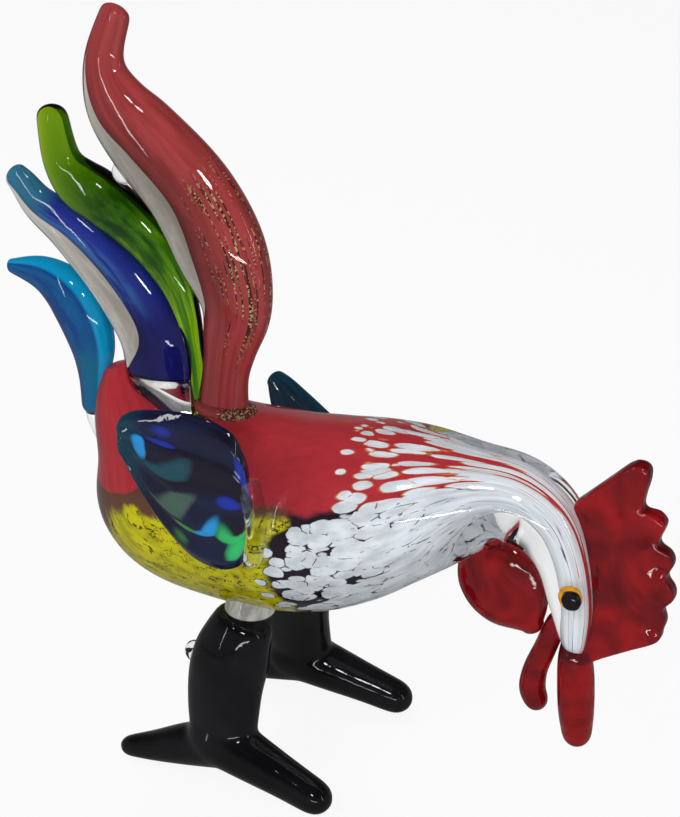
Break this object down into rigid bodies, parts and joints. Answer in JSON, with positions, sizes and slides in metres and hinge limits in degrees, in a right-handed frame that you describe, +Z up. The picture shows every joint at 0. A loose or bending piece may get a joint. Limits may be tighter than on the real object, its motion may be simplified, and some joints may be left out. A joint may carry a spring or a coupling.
{
  "type": "glass rooster figurine",
  "caption": "Hot-worked glass rooster bent down to peck, with a cased body, a fan of drawn tail feathers, pressed wings, comb, wattle and black legs.",
  "frame": {"origin": "on the table, under the middle of the whole bird's box", "axes": "+X the way the bird faces, +Y the bird's left, +Z up"},
  "size_m": [0.2344, 0.082, 0.2529],
  "materials": {
    "body_glass": "polished",
    "clear_glass": "polished",
    "brick_glass": "polished",
    "ruby_glass": "polished",
    "green_glass": "polished",
    "cobalt_glass": "polished",
    "aqua_glass": "polished",
    "wing_glass": "polished",
    "black_glass": "polished",
    "amber_glass": "polished",
    "gold_fleck_glass": "polished"
  },
  "bodies": {
    "root": {"body_core": "body_glass", "body_casing": "clear_glass", "comb": "ruby_glass", "wattle": "ruby_glass", "upper_beak": "ruby_glass", "lower_beak": "ruby_glass", "right_iris": "amber_glass", "right_pupil": "black_glass", "left_iris": "amber_glass", "left_pupil": "black_glass", "red_feather_casing": "clear_glass", "red_feather_core": "brick_glass", "green_feather": "green_glass", "cobalt_feather_casing": "clear_glass", "cobalt_feather_core": "cobalt_glass", "aqua_feather": "aqua_glass", "red_feather_collar": "gold_fleck_glass", "cobalt_feather_foot": "clear_glass", "aqua_feather_root": "clear_glass", "feather_bridge": "clear_glass", "right_wing": "wing_glass", "right_wing_weld": "clear_glass", "left_wing": "wing_glass", "left_wing_weld": "clear_glass", "right_hip_gather": "clear_glass", "right_shin": "black_glass", "right_foot": "black_glass", "right_spur": "clear_glass", "left_hip_gather": "clear_glass", "left_shin": "black_glass", "left_foot": "black_glass", "left_spur": "clear_glass"}
  },
  "joints": []
}
